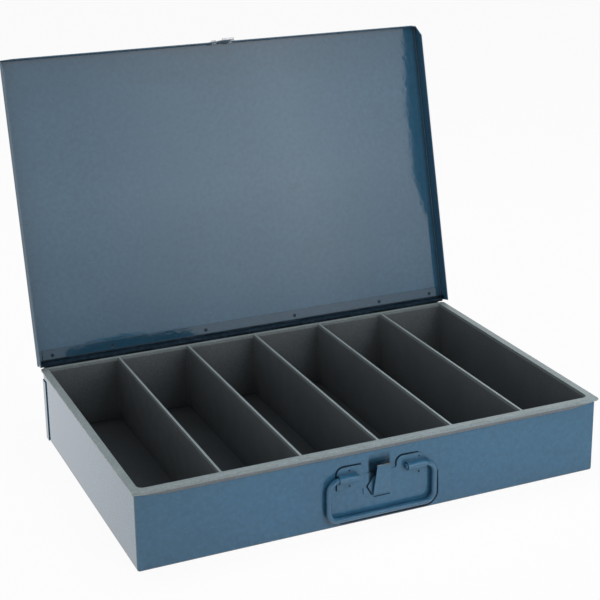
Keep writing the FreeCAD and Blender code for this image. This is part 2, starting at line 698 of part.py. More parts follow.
def catch_root():
    """Fixed back of the spring strip, welded to the plate, down to the middle of its lower bend."""
    body = new_body("catch_root")
    quarter_bend(body, "root", 1)
    waist, top = "dims.root_waist_half", "dims.root_top_half"
    face = outline(body, "root_face", "XZ_Plane", [
        ("-dims.catch_half", "0"), ("dims.catch_half", "0"), (waist, "dims.root_waist_rise"),
        (top, "dims.root_height"), (minus(top), "dims.root_height"), (minus(waist), "dims.root_waist_rise")],
        minus(BEND_OUTSIDE))
    pad(body, "root_strip", face, "dims.spring")
    place(body, CATCH_Y, "dims.catch_base")
    return body


def catch_flap():
    """Sprung front of the strip, leaning out to the nose that holds the strike."""
    body = new_body("catch_flap")
    quarter_bend(body, "flap", -1)
    half, top_half = "dims.catch_half", "dims.catch_top_half"
    inner, outer = "-dims.spring_bend", minus(BEND_OUTSIDE)
    top, lean = "dims.catch_rise", "dims.catch_lean"
    tip = f"{inner} - {lean} + dims.nose_reach"
    under = f"{top} - dims.nose_corner"
    strip = outline(body, "flap_side", "YZ_Plane", [
        (inner, "0"), (outer, "0"), (f"{outer} - {lean}", top), (tip, f"{top} - dims.nose_fall"),
        (tip, f"{top} - dims.nose_fall - dims.spring"),
        (f"{inner} - {lean} * ({under}) / ({top})", under)], minus(half))
    pad(body, "flap_strip", strip, f"2 * {half}")
    depth = f"{lean} + {BEND_OUTSIDE}"
    taper = outline(body, "flap_taper", "XZ_Plane", [(half, "0"), (half, top), (top_half, top)], depth)
    edge = pocket(body, "flap_edge", taper, depth)
    mirrored(body, "flap_edges", [edge])
    place(body, CATCH_Y, "dims.catch_base")
    return body


SUB_PARTS = [
    base_pan, rear_panel, tray_insert, hinge_leaf_box, hinge_pin, lid_panel, hinge_leaf_lid,
    lid_strike, strike_rivets, handle_plate, bail_handle, catch_root, catch_flap]

finished = [make() for make in SUB_PARTS]
doc.recompute()

for item in doc.Objects:
    if "Invalid" in item.State or "Error" in item.State:
        raise RuntimeError(f"{item.Label} failed: {item.State}")
for piece in finished:
    if piece.Shape.isNull() or not piece.Shape.isValid():
        raise RuntimeError(f"{piece.Label} has no valid shape")

os.makedirs("parts", exist_ok=True)
for piece in finished:
    piece.Shape.exportStep(f"parts/{piece.Label}.step")
    box = piece.Shape.BoundBox
    print(f"{piece.Label}: {len(piece.Shape.Solids)} solid, {piece.Shape.Volume:.0f} mm3, "
          f"x {box.XMin:.1f} to {box.XMax:.1f}, y {box.YMin:.1f} to {box.YMax:.1f}, "
          f"z {box.ZMin:.1f} to {box.ZMax:.1f}")
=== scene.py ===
"""Looks of the steel compartment box: baked enamel, moulded tray and plated strike, in a white studio."""

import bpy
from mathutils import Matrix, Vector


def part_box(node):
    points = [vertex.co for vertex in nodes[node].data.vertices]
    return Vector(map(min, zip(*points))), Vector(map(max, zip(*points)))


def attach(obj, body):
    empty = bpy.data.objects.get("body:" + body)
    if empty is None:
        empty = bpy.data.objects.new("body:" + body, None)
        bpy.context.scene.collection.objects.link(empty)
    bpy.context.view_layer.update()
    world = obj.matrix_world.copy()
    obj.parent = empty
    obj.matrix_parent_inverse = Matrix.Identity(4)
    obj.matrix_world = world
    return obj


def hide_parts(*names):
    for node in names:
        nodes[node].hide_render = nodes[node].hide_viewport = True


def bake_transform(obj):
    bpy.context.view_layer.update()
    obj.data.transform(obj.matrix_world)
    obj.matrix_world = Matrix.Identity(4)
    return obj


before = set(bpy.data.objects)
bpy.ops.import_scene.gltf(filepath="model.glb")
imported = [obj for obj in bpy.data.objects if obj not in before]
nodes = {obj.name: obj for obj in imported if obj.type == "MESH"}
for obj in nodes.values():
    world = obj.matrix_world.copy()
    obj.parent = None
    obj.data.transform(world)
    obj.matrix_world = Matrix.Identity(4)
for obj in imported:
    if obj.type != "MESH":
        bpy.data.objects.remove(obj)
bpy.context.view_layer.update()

import math

import bmesh
import bpy
from mathutils import Matrix, Vector

MM = 0.001

# Camera, fitted to the edges of the box in the photograph
PHOTO_SIDE_PX = 600
FOCAL_LENGTH_PX = 1478.07
PRINCIPAL_POINT_PX = (313.16, 249.54)
CAMERA_PLACE = Vector((-0.54189, -1.21441, 0.63456))
CAMERA_FORWARD = Vector((0.39035, 0.86917, -0.30361))
CAMERA_RIGHT = Vector((0.91104, -0.41230, -0.00905))
SENSOR_WIDTH_MM = 36

# Colours, linear
ENAMEL_BLUE = (0.042, 0.138, 0.234, 1)
ENAMEL_DEEP = (0.037, 0.126, 0.216, 1)
ENAMEL_WEAR_AND_HIGHLIGHT = (0.17, 0.23, 0.28, 1)
ENAMEL_PAINTED_SHADE = (0.008, 0.022, 0.038, 1)
DUST = (0.30, 0.33, 0.35, 1)
SHADE_AND_MARK_DARK = (0.005, 0.015, 0.027, 1)
BARE_STEEL = (0.16, 0.115, 0.08, 1)
TRAY_RIM = (0.268, 0.314, 0.322, 1)
TRAY_RIM_HIGHLIGHT = (0.315, 0.35, 0.355, 1)
TRAY_INSIDE = (0.142, 0.158, 0.168, 1)
TRAY_LOW = (0.094, 0.106, 0.113, 1)
TRAY_FOOT = (0.07, 0.08, 0.086, 1)
TRAY_FLOOR = (0.0225, 0.026, 0.028, 1)
ZINC_DULL = (0.52, 0.54, 0.57, 1)
ZINC_BRIGHT = (0.76, 0.78, 0.80, 1)

# Noise as (scale per metre, detail), and the range that most of its values lie in
CLOUDS = (11, 3)
MOTTLE = (230, 4)
WEAR = (170, 3)
SPECKS = (640, 0)
SHADE_PATCHES = (210, 3)
GLOSS = (38, 3)
PEEL = (150, 1)
FINE_PEEL = (560, 1)
RUBBED_EDGE = (420, 3)
CATCH_SHADE_EDGE = (300, 3)
TRAY_CLOUDS = (26, 4)
TRAY_SPECKS = (900, 2)
TRAY_GLOSS = (60, 3)
TRAY_GRAIN = (1100, 2)
STREAKS = (900, 3)
STREAK_STRETCH = (0.06, 1, 1)
PLATING_GLOSS = (240, 3)
GAP_CLOUDS = (500, 3)
GAP_GLOSS = (200, 2)
GAP_GRAIN = (900, 2)
NOISE_RANGE = (0.3, 0.7)
NARROW_RANGE = (0.35, 0.65)

# Painted shade in crevices and corners: the distance that it reaches, and the shares of open sky where it
# begins and is complete
SHEET_PAINTED_SHADE = (4 * MM, 0.62, 0.2)
HINGE_PAINTED_SHADE = (10 * MM, 0.62, 0.2)
FOLD_PAINTED_SHADE = (8 * MM, 0.74, 0.42)
PLATING_PAINTED_SHADE = (1.5 * MM, 0.62, 0.2)
PAINTED_SHADE_SAMPLES = 8

# Sharp edges, as the cosines of the normal's turn where they begin and are complete
EDGE_TURN = (0.985, 0.86)
EDGE_SAMPLES = 6

# Enamel: how much of each cover shows, how it shines and how high its orange peel is
MOTTLE_TONES = (0.9, 1.08)
WEAR_RANGE = (0.3, 0.62)
EDGE_WEAR_HIGHLIGHT_SHARE = 0.55
SPECK_RANGE = (0.79, 0.84)
SHADE_PATCH_RANGE = (0.2, 0.6)
SHADE_PATCH_SHARES = (0.75, 0.97)
DUST_SHARE = 0.15
CORNER_SHADE_SHARE = 0.9
ENAMEL_EDGE = 0.5 * MM
ENAMEL_IOR = 1.52
ENAMEL_ROUGHNESS = (0.02, 0.042)
ENAMEL_SHINE = 0.5
SHADE_AND_MARK_SHINE = 0.12
SHADE_AND_MARK_ROUGHNESS = 0.4
PEEL_HEIGHT = 0.014 * MM
FINE_PEEL_HEIGHT = 0.004 * MM
# A darker tone for the hinge's paint, as painted shade
HINGE_SHADE_TONE = 0.65

# Bare steel at the top of the spring's flap: how far below its top, how ragged and how soft its edge is
RUBBED_DROP = 1.6 * MM
RUBBED_RAGGED = 2 * MM
RUBBED_FADE = (0.8 * MM, 1.4 * MM)
RUBBED_ROUGHNESS = 0.3

# Painted shade behind the spring catch: how far it reaches past the flap's edges, and how softly it ends
CATCH_SHADE_DEPTH = 9 * MM
CATCH_SHADE_DEPTH_FADE = 0.2 * MM
CATCH_SHADE_LEFT = 3.4 * MM
CATCH_SHADE_RIGHT = 2.4 * MM
CATCH_SHADE_FOOT = 11 * MM
CATCH_SHADE_TOP = 8 * MM
CATCH_SHADE_FADE = 1.5 * MM
CATCH_SHADE_TOP_FADE = 9 * MM
CATCH_SHADE_RAGGED = 1.2 * MM

# Painted shade on the hinge's barrel, from its axis outwards
BARREL_REACH = 5.2 * MM
BARREL_FADE = 0.8 * MM

# Weld marks on the lid's hinge leaf: places in mm to both sides of the middle, and the way from the axis
LEAF_WELDS = (50.8, 152.4, 215)
LEAF_WELD_FROM_AXIS = Vector((0, 3.8, 7.3)) * MM
LEAF_WELD_MARK = 1.7 * MM
LEAF_WELD_FADE = 0.3 * MM
LEAF_WELD_SOIL = 0.8

# Tray: painted shade by height, darker down in the compartments, as shares of the way from its underside to
# just below its rim
TRAY_RIM_DROP = 2 * MM
TRAY_SHADE_BY_HEIGHT = [
    (0.025, TRAY_FLOOR), (0.05, TRAY_FOOT), (0.2, TRAY_LOW), (0.978, TRAY_INSIDE), (0.988, TRAY_RIM)]
TRAY_CLOUD_TONES = (0.92, 1.06)
TRAY_SPECK_TONES = (0.84, 1.12)
TRAY_HIGHLIGHT_FROM = (0.93, 0.98)
TRAY_HIGHLIGHT_SHARE = 0.6
TRAY_EDGE = 0.6 * MM
TRAY_IOR = 1.5
TRAY_ROUGHNESS = (0.38, 0.5)
TRAY_GRAIN_HEIGHT = 0.012 * MM

# Zinc plate
PLATING_METAL = 0.55
PLATING_EDGE = 0.3 * MM
PLATING_ROUGHNESS = (0.22, 0.4)
PLATING_SHADE_SHARE = 0.5
STREAK_HEIGHT = 0.01 * MM

# Painted shadow lines along gaps
GAP_ROUGHNESS = (0.5, 0.7)
GAP_SHINE = 0.08
GAP_GRAIN_HEIGHT = 0.02 * MM

# Drop handle and spring strip, metres; their places come from the parts in model.glb
SHOULDER_BEND = 10 * MM
BAR_BEND = 9 * MM
WIRE_END = 23.2 * MM
WIRE_ROUNDNESS = 6
STRIP = 0.8 * MM
STRIP_BEND = 1.1 * MM
STRIP_FOLD = 0.5 * MM
STRIP_HALF = 8.4 * MM
STRIP_TOP_HALF = 6.7 * MM
ROOT_TOP_HALF = 7.5 * MM
ROOT_WAIST_DROP = 8.5 * MM
NOSE_DEPTH = 2.5 * MM
NOSE_FALL = 3 * MM
STRIP_EDGE = 0.15 * MM

# Painted shadow lines round the fittings on the front wall, and weld marks: a width, (across, up) points,
# bends and dots, all in mm
LINE_WIDTH = 2.0
WALL_SHADOW_LINES = [
    ([(-43.5, 36), (-43.5, 58.1), (-19, 58.1)], [6.5]),
    ([(15.5, 48), (15.5, 58.1), (38, 58.1)], [6.5]),
    ([(-40, 2.9), (58.5, 2.9), (58.5, 36)], [12]),
    ([(-6.5, 22.7), (10.3, 22.7)], []),
]
PLATE_SHADOW_LINES = [([(-7.6, 44.2), (-13.8, 34.8), (-9, 25.6)], [0])]
PLATE_WELDS = [(-31, 54), (-31, 39), (38.3, 54), (38.3, 39)]
WELD_MARK = 0.75

# The plate's thickness, and how far the painted shadow lines stand out from what they lie on
PLATE = 1 * MM
LINE_LIFT = 0.05 * MM

# Peened ends of the hinge's pin
PIN_END = 4.5 * MM
PIN_HEAD = 2.3 * MM
PIN_EDGE = 0.5 * MM

# Smoothness of arcs, circles and rounded edges, and the angle from which an edge is sharp
ARC_STEPS = 10
PIN_STEPS = 24
WELD_STEPS = 16
EDGE_STEPS = 2
SHARP_ANGLE = math.radians(40)

# Studio, in metres and in radiance, where 1 is white
ROOM_TONE = 0.8
ROOM_LIGHT = 0.44
FLOOR_REACH = 6.0
FLOOR_TONE = 0.85
FLOOR_WHITE_SHARE = 0.94
CARDS = {
    "front_card": (0.01, [(-0.5, -1.32, 0.02), (2.0, -1.32, 0.02), (2.0, -1.32, 1.6), (-0.5, -1.32, 1.6)]),
    "top_card": (0.01, [(-1.5, -1.32, 1.62), (2.0, -1.32, 1.62), (2.0, 0.4, 1.62), (-1.5, 0.4, 1.62)]),
    "left_card": (0.35, [(-0.42, 0.34, 0.0), (-0.25, 0.34, 0.0), (-0.25, 0.34, 0.4), (-0.42, 0.34, 0.4)]),
}

# Lamps: place, the point that they face, width, height and radiance
LAMPS = {
    "front_panel": ((0.55, -1.30, 0.5815), (0.55, 0, 0.5815), 1.04, 0.823, 2.94),
    "top_panel": ((0, 0.35, 1.5), (0, 0.35, 0), 1.6, 0.7, 3.2),
    "floor_glow": ((-0.6275, 0.325, 0.001), (-0.6275, 0.325, 1), 0.8, 1.25, 0.36),
    "front_key": ((0.3, -0.85, 0.75), (0.06, -0.149, 0.04), 0.5, 0.3, 0.25),
}
UNMIRRORED_LAMPS = ("top_panel", "front_key")
KEY_SPREAD = math.radians(18)
KEY_TINT = (0.8, 1.0, 1.15)

# Brightness and curved edges over a lamp's face, as shares of its width and height
EVEN = [(0.0, 1.0), (1.0, 1.0)]
FRONT_ACROSS = [(0.0, 0.55), (0.21, 0.67), (0.42, 0.86), (0.66, 1.0), (0.88, 0.78), (1.0, 0.68)]
FRONT_UP = [(0.0, 0.42), (0.06, 0.5), (0.2, 0.78), (0.44, 1.0), (0.77, 0.95), (1.0, 0.88)]
FRONT_RIGHT_EDGE = [(0.1, 1.0), (0.2, 0.96), (0.3, 0.933), (0.4, 0.925), (0.6, 0.945), (1.0, 1.0)]
FRONT_LOWER_EDGE = [(0.08, 0.0), (0.105, 0.08), (0.2, 0.094), (0.36, 0.078), (0.39, 0.0)]
GLOW_UP = [(0.12, 0.5), (0.5, 1.0), (1.0, 1.0)]
LAMP_FADE = 0.004


def grey(level):
    return (level, level, level, 1)


class Tree:
    """A node tree, with short calls that add nodes and link them."""

    def __init__(self, node_tree):
        self.tree = node_tree
        self.tree.nodes.clear()

    def set(self, socket, value):
        """Link a socket to another one, or give it a fixed value."""
        if isinstance(value, bpy.types.NodeSocket):
            self.tree.links.new(value, socket)
        else:
            socket.default_value = value

    def add(self, kind, settings=None, **inputs):
        """A node with its settings, and with values or links for the sockets of these names."""
        node = self.tree.nodes.new("ShaderNode" + kind)
        for name, value in (settings or {}).items():
            setattr(node, name, value)
        for name, value in inputs.items():
            socket = next(item for item in node.inputs if item.name.lower().replace(" ", "_") == name)
            self.set(socket, value)
        return node

    def math(self, operation, first, second):
        node = self.add("Math", {"operation": operation})
        self.set(node.inputs[0], first)
        self.set(node.inputs[1], second)
        return node.outputs[0]

    def vector_math(self, operation, first, second=None):
        """The outputs of a vector operation: Vector, and Value for a length, a distance or a product."""
        node = self.add("VectorMath", {"operation": operation})
        self.set(node.inputs[0], first)
        if second is not None:
            self.set(node.inputs[1], second)
        return node.outputs

    def rescale(self, value, low, high, first=0.0, last=1.0):
        """A value between two limits, taken to a range of its own."""
        node = self.add("MapRange", value=value, from_min=low, from_max=high, to_min=first, to_max=last)
        return node.outputs[0]

    def mix(self, share, first, second, blend="MIX"):
        node = self.add("MixRGB", {"blend_type": blend}, fac=share, color1=first, color2=second)
        return node.outputs[0]

    def cover(self, colour, share, strength, over):
        """A colour with another over it, by a share that is lowered to this strength."""
        return self.mix(self.math("MULTIPLY", share, strength), colour, over)

    def ramp(self, value, stops):
        """A colour ramp from (place, colour) stops."""
        node = self.add("ValToRGB", fac=value)
        elements = node.color_ramp.elements
        while len(elements) < len(stops):
            elements.new(0.5)
        for element, (place, colour) in zip(elements, stops):
            element.position = place
            element.color = colour
        return node.outputs[0]

    def between(self, value, limits, colours):
        """A colour that goes from one to another while a value passes two limits."""
        return self.ramp(value, list(zip(limits, colours)))

    def mottled(self, colour, noise, limits, tones):
        """A colour that a noise makes darker and lighter, between two tones."""
        shade = self.between(self.noise(*noise), limits, [grey(tone) for tone in tones])
        return self.mix(1.0, colour, shade, "MULTIPLY")

    def place(self):
        return self.add("TexCoord").outputs["Object"]

    def height(self):
        return self.add("SeparateXYZ", vector=self.place()).outputs["Z"]

    def noise(self, scale, detail, stretch=(1, 1, 1)):
        """Soft noise in the object's own metres, drawn out along an axis where stretch is small."""
        spread = self.add("Mapping", vector=self.place(), scale=stretch)
        return self.add("TexNoise", vector=spread.outputs[0], scale=scale, detail=detail).outputs[0]

    def uneven(self, noise, limits):
        """A value that wanders between two limits with a noise."""
        return self.rescale(self.noise(*noise), *NOISE_RANGE, *limits)

    def bump(self, height, distance, normal):
        return self.add("Bump", height=height, distance=distance, normal=normal).outputs[0]

    def rounded_normal(self, radius):
        return self.add("Bevel", {"samples": EDGE_SAMPLES}, radius=radius).outputs[0]

    def edge_share(self, rounded):
        """1 on sharp edges and 0 on flat faces."""
        flat = self.add("NewGeometry").outputs["Normal"]
        turn = self.vector_math("DOT_PRODUCT", rounded, flat)["Value"]
        return self.rescale(turn, *EDGE_TURN)

    def painted_shade_share(self, distance, open_from, dark_at):
        """1 deep in corners and 0 on open faces: where shade is painted."""
        node = self.add("AmbientOcclusion", {"samples": PAINTED_SHADE_SAMPLES}, distance=distance)
        return self.rescale(node.outputs["AO"], open_from, dark_at)


def new_material(name):
    material = bpy.data.materials.new(name)
    material.use_nodes = True
    return material, Tree(material.node_tree)


def finish_material(tree, shader):
    output = tree.add("OutputMaterial")
    tree.set(output.inputs["Surface"], shader.outputs[0])


def hinge_axis():
    """The middle of the hinge's pin."""
    low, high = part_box("hinge_pin")
    return (low + high) / 2


def barrel_painted_shade(tree):
    """1 on the hinge's barrel, which is painted dark as shade."""
    away = tree.vector_math("SUBTRACT", tree.place(), hinge_axis())["Vector"]
    outwards = tree.vector_math("MULTIPLY", away, (0, 1, 1))["Vector"]
    distance = tree.vector_math("LENGTH", outwards)["Value"]
    return tree.rescale(distance, BARREL_REACH, BARREL_REACH - BARREL_FADE)


def barrel_shade_and_weld_marks(tree):
    """1 on the hinge's barrel, as painted shade, and a part of it on the weld marks along the lid's leaf."""
    middle = hinge_axis() + LEAF_WELD_FROM_AXIS
    mirrored = tree.vector_math("ABSOLUTE", tree.place())["Vector"]
    rim, core = LEAF_WELD_MARK + LEAF_WELD_FADE, LEAF_WELD_MARK - LEAF_WELD_FADE
    share = barrel_painted_shade(tree)
    for across in LEAF_WELDS:
        distance = tree.vector_math("DISTANCE", mirrored, (across * MM, middle.y, middle.z))["Value"]
        share = tree.math("MAXIMUM", share, tree.rescale(distance, rim, core, 0, LEAF_WELD_SOIL))
    return share


def catch_painted_shade(tree):
    """1 on the front of the box behind the spring catch, where shade is painted beside the leaning flap."""
    low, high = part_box("catch_flap")
    shift = tree.math("MULTIPLY", tree.noise(*CATCH_SHADE_EDGE), CATCH_SHADE_RAGGED)
    ragged = tree.vector_math("ADD", tree.place(), shift)["Vector"]
    spot = tree.add("SeparateXYZ", vector=ragged).outputs
    depth = tree.add("SeparateXYZ", vector=tree.place()).outputs["Y"]
    share = tree.rescale(depth, low.y + CATCH_SHADE_DEPTH, low.y + CATCH_SHADE_DEPTH - CATCH_SHADE_DEPTH_FADE)
    for place, start, end, end_fade in (
            (spot["X"], low.x - CATCH_SHADE_LEFT, high.x + CATCH_SHADE_RIGHT, CATCH_SHADE_FADE),
            (spot["Z"], low.z + CATCH_SHADE_FOOT, high.z + CATCH_SHADE_TOP, CATCH_SHADE_TOP_FADE)):
        share = tree.math("MULTIPLY", share, tree.rescale(place, start, start + CATCH_SHADE_FADE))
        share = tree.math("MULTIPLY", share, tree.rescale(place, end, end - end_fade))
    return share


def enamel(name, corner_shade=SHEET_PAINTED_SHADE, bare_above=None, shade_and_marks=None, tone=1.0):
    """Baked enamel on steel: cloudy blue, orange peel, specks of dust, pale edges that are partly wear and
    partly painted highlight, and painted shade in crevices.

    The crevice shade darkens the paint within its distance, as painted shade in corners. Above the height
    bare_above the paint is rubbed off, down to brown steel. A function of the tree gives the share of a dark,
    duller cover on the paint: painted shade, and on the hinge's leaf also weld marks. A tone below 1 makes
    the paint darker.
    """
    material, tree = new_material(name)
    paint = tree.between(tree.noise(*CLOUDS), NARROW_RANGE, (ENAMEL_DEEP, ENAMEL_BLUE))
    paint = tree.mottled(paint, MOTTLE, NOISE_RANGE, [level * tone for level in MOTTLE_TONES])
    rounded = tree.rounded_normal(ENAMEL_EDGE)
    # Pale edges: partly real wear, partly a painted highlight along the sharp edges
    edge_wear_and_highlight = tree.math("MULTIPLY", tree.edge_share(rounded), tree.rescale(tree.noise(*WEAR), *WEAR_RANGE))
    paint = tree.cover(paint, edge_wear_and_highlight, EDGE_WEAR_HIGHLIGHT_SHARE, ENAMEL_WEAR_AND_HIGHLIGHT)
    paint = tree.cover(paint, tree.rescale(tree.noise(*SPECKS), *SPECK_RANGE), DUST_SHARE, DUST)
    # Painted shade: the paint is darker in crevices and corners
    paint = tree.cover(paint, tree.painted_shade_share(*corner_shade), CORNER_SHADE_SHARE, ENAMEL_PAINTED_SHADE)
    roughness = tree.uneven(GLOSS, ENAMEL_ROUGHNESS)
    shine = ENAMEL_SHINE
    # Painted shade as a dark, duller cover, and on the hinge's leaf also weld marks
    if shade_and_marks is not None:
        patchiness = tree.rescale(tree.noise(*SHADE_PATCHES), *SHADE_PATCH_RANGE, *SHADE_PATCH_SHARES)
        shade_and_mark = tree.math("MULTIPLY", shade_and_marks(tree), patchiness)
        paint = tree.mix(shade_and_mark, paint, SHADE_AND_MARK_DARK)
        roughness = tree.math("ADD", roughness, tree.math("MULTIPLY", shade_and_mark, SHADE_AND_MARK_ROUGHNESS))
        shine = tree.rescale(shade_and_mark, 0, 1, ENAMEL_SHINE, SHADE_AND_MARK_SHINE)
    if bare_above is not None:
        shift = tree.math("MULTIPLY", tree.noise(*RUBBED_EDGE), RUBBED_RAGGED)
        ragged = tree.math("ADD", tree.height(), shift)
        rubbed = tree.rescale(ragged, *(bare_above + step for step in RUBBED_FADE))
        paint = tree.mix(rubbed, paint, BARE_STEEL)
        roughness = tree.math("ADD", roughness, tree.math("MULTIPLY", rubbed, RUBBED_ROUGHNESS))
    peel = tree.bump(tree.noise(*PEEL), PEEL_HEIGHT, rounded)
    peel = tree.bump(tree.noise(*FINE_PEEL), FINE_PEEL_HEIGHT, peel)
    finish_material(tree, tree.add(
        "BsdfPrincipled", base_color=paint, roughness=roughness, ior=ENAMEL_IOR, specular_ior_level=shine,
        normal=peel))
    return material


def moulding(name):
    """Moulded grey plastic with a fine grain, pale on the rim with a painted highlight on its edges, and
    painted shade that darkens down into the compartments.
    """
    material, tree = new_material(name)
    low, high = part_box("tray_insert")
    level = tree.rescale(tree.height(), low.z, high.z - TRAY_RIM_DROP)
    # Painted shade: the tray darkens down towards the floors of its compartments
    shade = tree.ramp(level, TRAY_SHADE_BY_HEIGHT)
    rounded = tree.rounded_normal(TRAY_EDGE)
    # Painted highlight: paler sharp edges near the rim
    rim_highlight = tree.math("MULTIPLY", tree.edge_share(rounded), tree.rescale(level, *TRAY_HIGHLIGHT_FROM))
    shade = tree.cover(shade, rim_highlight, TRAY_HIGHLIGHT_SHARE, TRAY_RIM_HIGHLIGHT)
    shade = tree.mottled(shade, TRAY_CLOUDS, NOISE_RANGE, TRAY_CLOUD_TONES)
    shade = tree.mottled(shade, TRAY_SPECKS, NARROW_RANGE, TRAY_SPECK_TONES)
    roughness = tree.uneven(TRAY_GLOSS, TRAY_ROUGHNESS)
    grain = tree.bump(tree.noise(*TRAY_GRAIN), TRAY_GRAIN_HEIGHT, rounded)
    finish_material(tree, tree.add(
        "BsdfPrincipled", base_color=shade, roughness=roughness, ior=TRAY_IOR, normal=grain))
    return material


def plated(name):
    """Bright zinc plate on small steel pieces, with drawn streaks and painted shade in crevices."""
    material, tree = new_material(name)
    streaks = tree.noise(*STREAKS, STREAK_STRETCH)
    colour = tree.between(streaks, NOISE_RANGE, (ZINC_DULL, ZINC_BRIGHT))
    # Painted shade: duller, darker zinc in crevices
    colour = tree.cover(colour, tree.painted_shade_share(*PLATING_PAINTED_SHADE), PLATING_SHADE_SHARE, ZINC_DULL)
    rounded = tree.rounded_normal(PLATING_EDGE)
    roughness = tree.uneven(PLATING_GLOSS, PLATING_ROUGHNESS)
    drawn = tree.bump(streaks, STREAK_HEIGHT, rounded)
    finish_material(tree, tree.add(
        "BsdfPrincipled", base_color=colour, metallic=PLATING_METAL, roughness=roughness, normal=drawn))
    return material


def gap_shadow(name):
    """The dark, dull look of a painted shadow line along a thin gap."""
    material, tree = new_material(name)
    shade = tree.between(tree.noise(*GAP_CLOUDS), NOISE_RANGE, (SHADE_AND_MARK_DARK, ENAMEL_PAINTED_SHADE))
    roughness = tree.uneven(GAP_GLOSS, GAP_ROUGHNESS)
    grain = tree.bump(tree.noise(*GAP_GRAIN), GAP_GRAIN_HEIGHT, tree.add("NewGeometry").outputs["Normal"])
    finish_material(tree, tree.add(
        "BsdfPrincipled", base_color=shade, roughness=roughness, specular_ior_level=GAP_SHINE, normal=grain))
    return material


def dress(names, material):
    for name in names:
        slots = nodes[name].data.materials
        slots.clear()
        slots.append(material)


def rounded_path(points, bends):
    """The points of a bent line, with an arc in place of each inner corner.

    A point is (across, up, extra values), and the extra values stay even through an arc. Each inner corner
    has its own bend radius, where 0 keeps the corner.
    """
    path = [tuple(points[0])]
    for before, corner, after, bend in zip(points, points[1:], points[2:], bends):
        middle = Vector(corner[:2])
        back, ahead = (Vector(before[:2]) - middle).normalized(), (Vector(after[:2]) - middle).normalized()
        if not bend:
            path.append(tuple(corner))
            continue
        half = back.angle(ahead) / 2
        centre = middle + (back + ahead).normalized() * (bend / math.sin(half))
        start = middle + back * (bend / math.tan(half)) - centre
        turn = start.angle_signed(middle + ahead * (bend / math.tan(half)) - centre)
        for step in range(ARC_STEPS + 1):
            spoke = Matrix.Rotation(-turn * step / ARC_STEPS, 2) @ start
            path.append((*(centre + spoke), *corner[2:]))
    path.append(tuple(points[-1]))
    return path


def square_steps(path):
    """For each point of a path, a step of length 1 that is square to the line there."""
    for number in range(len(path)):
        before, after = path[max(number - 1, 0)], path[min(number + 1, len(path) - 1)]
        run = (Vector(after[:2]) - Vector(before[:2])).normalized()
        yield Vector((-run.y, run.x))


def soften_edges(mesh, offset):
    """Round off a mesh's sharp edges and shade the rest smooth."""
    bmesh.ops.recalc_face_normals(mesh, faces=mesh.faces)
    sharp = [edge for edge in mesh.edges if edge.calc_face_angle(0) > SHARP_ANGLE]
    bmesh.ops.bevel(
        mesh, geom=sharp, offset=offset, segments=EDGE_STEPS, affect="EDGES", clamp_overlap=True)
    for face in mesh.faces:
        face.smooth = True
    for edge in mesh.edges:
        edge.smooth = edge.calc_face_angle(0) < SHARP_ANGLE


def add_object(name, data, material):
    """An object in the scene with one material."""
    data.materials.append(material)
    piece = bpy.data.objects.new(name, data)
    bpy.context.scene.collection.objects.link(piece)
    return piece


def add_mesh(name, mesh, material):
    """An object from a finished bmesh, which is freed."""
    data = bpy.data.meshes.new(name)
    mesh.to_mesh(data)
    mesh.free()
    return add_object(name, data, material)


def drop_handle(material):
    """The handle's wire as one smooth rod through its four bends."""
    low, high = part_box("bail_handle")
    radius = (high.y - low.y) / 2
    arm, bar, pivot = high.x - radius, low.z + radius, high.z - radius
    corners = [(-WIRE_END, pivot), (-arm, pivot), (-arm, bar), (arm, bar), (arm, pivot), (WIRE_END, pivot)]
    path = rounded_path(corners, [SHOULDER_BEND, BAR_BEND, BAR_BEND, SHOULDER_BEND])
    data = bpy.data.curves.new("drop_handle", "CURVE")
    data.dimensions = "3D"
    data.bevel_depth = radius
    data.bevel_resolution = WIRE_ROUNDNESS
    data.use_fill_caps = True
    line = data.splines.new("POLY")
    line.points.add(len(path) - 1)
    for point, (across, up) in zip(line.points, path):
        point.co = (across, (low.y + high.y) / 2, up, 1)
    wire = add_object("drop_handle", data, material)
    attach(wire, "bail")
    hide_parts("bail_handle")


def spring_catch(material):
    """The spring as one strip: a waisted root, a tight bend at the foot, a leaning flap and its nose."""
    root_low, root_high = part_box("catch_root")
    flap_low, flap_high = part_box("catch_flap")
    root_y, flap_y = root_high.y - STRIP / 2, flap_low.y + STRIP / 2
    foot_y = root_y - 2 * (root_high.y - STRIP - root_low.y) - STRIP
    foot, top = root_low.z + STRIP / 2, flap_high.z - STRIP / 4
    path = rounded_path([
        (root_y, root_high.z, ROOT_TOP_HALF), (root_y, root_high.z - ROOT_WAIST_DROP, root_high.x),
        (root_y, foot + STRIP_BEND, STRIP_HALF), (root_y, foot, STRIP_HALF), (foot_y, foot, STRIP_HALF),
        (flap_y, top, STRIP_TOP_HALF), (flap_y + NOSE_DEPTH, top - NOSE_FALL, STRIP_TOP_HALF)],
        [0, 0, STRIP_BEND, STRIP_BEND, STRIP_FOLD])
    mesh = bmesh.new()
    rings = []
    for (along, up, half), step in zip(path, square_steps(path)):
        side = step * (STRIP / 2)
        ring = []
        for across, sign in ((-half, 1), (half, 1), (half, -1), (-half, -1)):
            ring.append(mesh.verts.new((across, along + side.x * sign, up + side.y * sign)))
        rings.append(ring)
    for ring, following in zip(rings, rings[1:]):
        for corner in range(4):
            beside = (corner + 1) % 4
            mesh.faces.new((ring[corner], ring[beside], following[beside], following[corner]))
    mesh.faces.new(reversed(rings[0]))
    mesh.faces.new(rings[-1])
    soften_edges(mesh, STRIP_EDGE)
    strip = add_mesh("spring_strip", mesh, material)
    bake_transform(strip)
    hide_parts("catch_root", "catch_flap")


